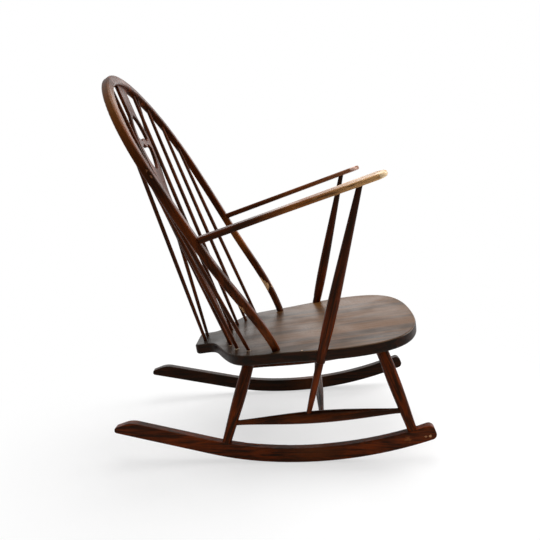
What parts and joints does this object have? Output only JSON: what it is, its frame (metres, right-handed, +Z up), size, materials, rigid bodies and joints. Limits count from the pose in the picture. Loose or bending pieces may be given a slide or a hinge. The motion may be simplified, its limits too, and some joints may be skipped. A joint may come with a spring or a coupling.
{
  "type": "rocking chair",
  "caption": "Low rocking chair with a bent hoop back, pierced centre splat, turned back sticks, sloping flat arms and a thick plank seat on splayed legs and curved rockers.",
  "frame": {"origin": "on the floor, midway between the rockers, where their soles touch it when the chair stands still", "axes": "+Z up, -Y towards the front of the chair, +X towards the sitter's left"},
  "size_m": [0.6194, 0.8327, 1.0148],
  "materials": {
    "seat_wood": "satin",
    "hoop_wood": "satin",
    "splat_wood": "satin",
    "stick_wood": "satin",
    "arm_wood": "satin",
    "post_wood": "satin",
    "leg_wood": "satin",
    "stretcher_wood": "satin",
    "rocker_wood": "satin",
    "screw_steel": "satin"
  },
  "bodies": {
    "root": {"seat": "seat_wood", "hoop": "hoop_wood", "splat": "splat_wood", "spindle_left_1": "stick_wood", "spindle_left_2": "stick_wood", "spindle_left_3": "stick_wood", "spindle_left_4": "stick_wood", "brace_left": "stick_wood", "arm_left": "arm_wood", "arm_post_left": "post_wood", "leg_front_left": "leg_wood", "leg_rear_left": "leg_wood", "side_stretcher_left": "stretcher_wood", "rocker_left": "rocker_wood", "spindle_right_1": "stick_wood", "spindle_right_2": "stick_wood", "spindle_right_3": "stick_wood", "spindle_right_4": "stick_wood", "brace_right": "stick_wood", "arm_right": "arm_wood", "arm_post_right": "post_wood", "leg_front_right": "leg_wood", "leg_rear_right": "leg_wood", "side_stretcher_right": "stretcher_wood", "rocker_right": "rocker_wood", "cross_stretcher": "stretcher_wood", "arm_screws": "screw_steel", "arm_plugs": "hoop_wood"}
  },
  "joints": []
}
